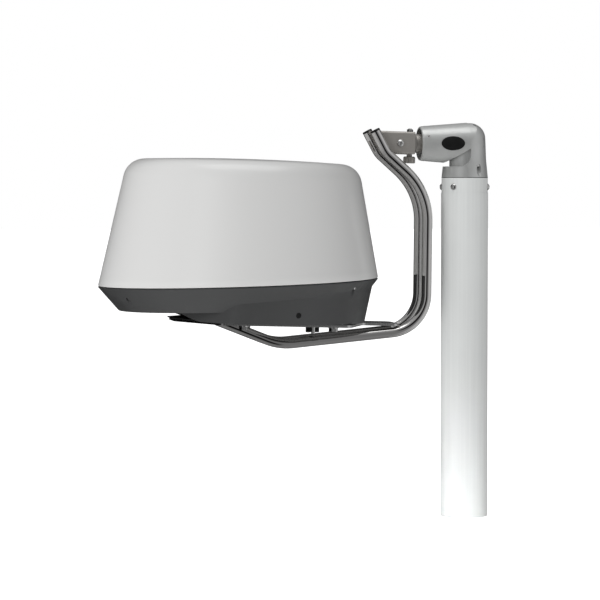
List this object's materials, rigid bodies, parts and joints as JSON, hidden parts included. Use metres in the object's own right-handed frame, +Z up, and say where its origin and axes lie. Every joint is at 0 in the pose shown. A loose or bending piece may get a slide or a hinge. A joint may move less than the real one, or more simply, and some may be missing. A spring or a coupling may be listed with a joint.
{
  "type": "radar dome antenna",
  "caption": "Marine radar dome antenna hung in a tubular steel cradle that levels itself and trims on a cast head atop a pole; a geared antenna array turns inside the dome.",
  "frame": {"origin": "centre of the pole's bottom face, on the pole's axis", "axes": "+Z up along the pole, -X from the pole towards the radome, Y across the boat-side swing"},
  "size_m": [0.6343, 0.4468, 0.6394],
  "materials": {
    "pole_paint": "satin powder coat",
    "cast_alloy": "satin bead-blasted casting",
    "tube_steel": "mirror polished stainless steel",
    "plate_steel": "rolled stainless sheet",
    "bracket_steel": "brushed stainless steel",
    "fastener_steel": "bright stainless steel",
    "turned_steel": "turned steel",
    "cover_gelcoat": "glossy light grey-white",
    "base_plastic": "fine-grained dark grey",
    "black_plastic": "satin black",
    "black_rubber": "matte black",
    "nylon": "natural nylon",
    "sheet_alloy": "folded sheet",
    "motor_paint": "satin black",
    "circuit_board": "solder-masked board",
    "bronze": "turned"
  },
  "bodies": {
    "root": {"pole_tube": "pole_paint", "head_gasket": "black_rubber", "pole_head": "cast_alloy", "pole_screws": "fastener_steel", "head_top_screw": "fastener_steel", "barrel_clamp_screws": "fastener_steel", "barrel_housing": "cast_alloy", "barrel_grub_screw": "fastener_steel", "name_badge": "black_plastic", "front_bearing": "nylon", "rear_bearing": "nylon", "damper_body": "turned_steel", "shaft_seal": "black_rubber", "seal_retainer": "black_plastic", "retainer_screws": "fastener_steel"},
    "swing": {"swing_shaft": "turned_steel", "damper_vane": "turned_steel", "shaft_circlip": "turned_steel", "pivot_tongue": "bracket_steel", "tongue_bush": "nylon"},
    "cradle": {"box_bracket": "bracket_steel", "pivot_bolt": "fastener_steel", "pivot_nut": "fastener_steel", "pivot_spacers": "nylon", "near_tube": "tube_steel", "far_tube": "tube_steel", "tube_caps": "black_plastic", "cross_brace": "plate_steel", "base_plate": "plate_steel", "plate_pad": "black_rubber", "radome_bolts": "fastener_steel", "bolt_washers": "fastener_steel", "centre_bolts": "fastener_steel", "radome_base": "base_plastic", "rim_gasket": "black_rubber", "radome_cover": "cover_gelcoat", "cover_screws": "fastener_steel", "vent_plug": "black_plastic", "cable_socket": "black_plastic", "pedestal": "cast_alloy", "main_bearing": "turned_steel", "drive_motor": "motor_paint", "transceiver_box": "sheet_alloy", "power_board": "circuit_board"},
    "trim_lock": {"trim_bolt": "fastener_steel", "trim_knob": "bracket_steel", "trim_cap_nut": "fastener_steel"},
    "antenna": {"turntable_gear": "nylon", "antenna_bracket": "sheet_alloy", "antenna_array": "nylon", "antenna_board": "circuit_board", "rotary_joint": "bronze"},
    "pinion": {"motor_shaft": "turned_steel", "motor_pinion": "bronze"}
  },
  "joints": [
    {"name": "swing_roll", "type": "hinge", "parent": "root", "child": "swing", "pos_m": [-0.08, 0, 0.6055], "axis": [1, 0, 0], "range_deg": [-30, 30]},
    {"name": "cradle_trim", "type": "hinge", "parent": "swing", "child": "cradle", "pos_m": [-0.1117, 0, 0.6055], "axis": [0, 1, 0], "range_deg": [-4, 8]},
    {"name": "trim_lock_turn", "type": "hinge", "parent": "cradle", "child": "trim_lock", "pos_m": [-0.09171, 0, 0.60491], "axis": [0.0297, 0, 0.9996], "range_deg": [-180, 180]},
    {"name": "antenna_spin", "type": "hinge", "parent": "cradle", "child": "antenna", "pos_m": [-0.36978, 0, 0.38426], "axis": [0.0297, 0, 0.9996], "continuous": true},
    {"name": "pinion_spin", "type": "hinge", "parent": "cradle", "child": "pinion", "pos_m": [-0.28431, 0, 0.38172], "axis": [0.0297, 0, 0.9996], "continuous": true}
  ],
  "couplings": [
    {"joint": "pinion_spin", "follows": "antenna_spin", "ratio": -5.3333}
  ]
}
